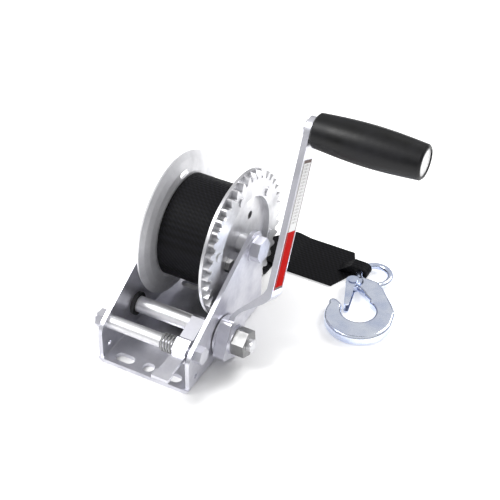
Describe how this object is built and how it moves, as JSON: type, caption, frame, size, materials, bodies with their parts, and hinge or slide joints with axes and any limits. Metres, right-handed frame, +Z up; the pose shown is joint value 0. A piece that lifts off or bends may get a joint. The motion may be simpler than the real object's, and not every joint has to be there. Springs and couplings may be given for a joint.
{
  "type": "boat trailer winch",
  "caption": "Hand-cranked strap winch in a channel frame, with a spur gear stage, a ratchet pawl, a wound webbing strap and a snap hook.",
  "frame": {"origin": "middle of the base's underside", "axes": "+X along the axle to the crank side, +Y from the front lip to the rear, +Z up from the mounting face"},
  "size_m": [0.2274, 0.246, 0.2021],
  "materials": {
    "zinc": "bright zinc plate, satin",
    "forged_zinc": "bluish zinc plate on a forging",
    "webbing": "woven black polyester",
    "grip_rubber": "satin black",
    "cap_plastic": "white",
    "label_film": "blank white and red film",
    "dark_zinc": "dark grey, oiled",
    "spring_steel": "drawn wire"
  },
  "bodies": {
    "frame": {"frame": "zinc", "axle_bolt": "zinc", "axle_nut": "zinc", "axle_washers": "zinc", "axle_sleeve": "zinc", "shaft_bushes": "dark_zinc", "pawl_bolt": "zinc", "pawl_nut": "zinc", "pawl_spacer": "zinc", "free_strap": "webbing"},
    "drum": {"drum_core": "zinc", "left_flange": "zinc", "right_flange": "zinc", "gear_ring": "zinc", "gear_rivets": "zinc", "strap_roll": "webbing", "strap_bolt": "zinc", "strap_nut": "zinc"},
    "crank": {"drive_shaft": "zinc", "pinion": "zinc", "shaft_collar": "zinc", "crank_hub": "zinc", "crank_arm": "zinc", "crank_washer": "zinc", "crank_nut": "zinc", "arm_label": "label_film", "grip_spindle": "zinc", "grip_nut": "zinc"},
    "grip": {"grip": "grip_rubber", "grip_cap": "cap_plastic"},
    "pawl": {"pawl": "zinc", "pawl_lever": "zinc", "pawl_spring": "spring_steel"},
    "hook": {"hook": "forged_zinc", "latch_rivet": "forged_zinc"},
    "latch": {"latch": "forged_zinc"}
  },
  "joints": [
    {"name": "crank_turn", "type": "hinge", "parent": "frame", "child": "crank", "pos_m": [0, -0.00749, 0.022], "axis": [1, 0, 0], "continuous": true},
    {"name": "drum_turn", "type": "hinge", "parent": "frame", "child": "drum", "pos_m": [0, 0.0475, 0.073], "axis": [1, 0, 0], "continuous": true},
    {"name": "grip_spin", "type": "hinge", "parent": "crank", "child": "grip", "pos_m": [0.0814, 0.07229, 0.18558], "axis": [1, 0, 0], "continuous": true},
    {"name": "pawl_tilt", "type": "hinge", "parent": "frame", "child": "pawl", "pos_m": [0.03, -0.0455, 0.031], "axis": [-1, 0, 0], "range_deg": [0, 18]},
    {"name": "hook_swivel", "type": "hinge", "parent": "frame", "child": "hook", "pos_m": [0.113, 0.1385, 0.005], "axis": [0, 0, 1], "range_deg": [-15, 60]},
    {"name": "latch_open", "type": "hinge", "parent": "hook", "child": "latch", "pos_m": [0.101, 0.119, 0.005], "axis": [0, 0, 1], "range_deg": [0, 22], "stiffness_Nm_per_rad": 0.05, "springref_deg": -17.19}
  ],
  "couplings": [
    {"joint": "drum_turn", "follows": "crank_turn", "ratio": -0.25}
  ]
}
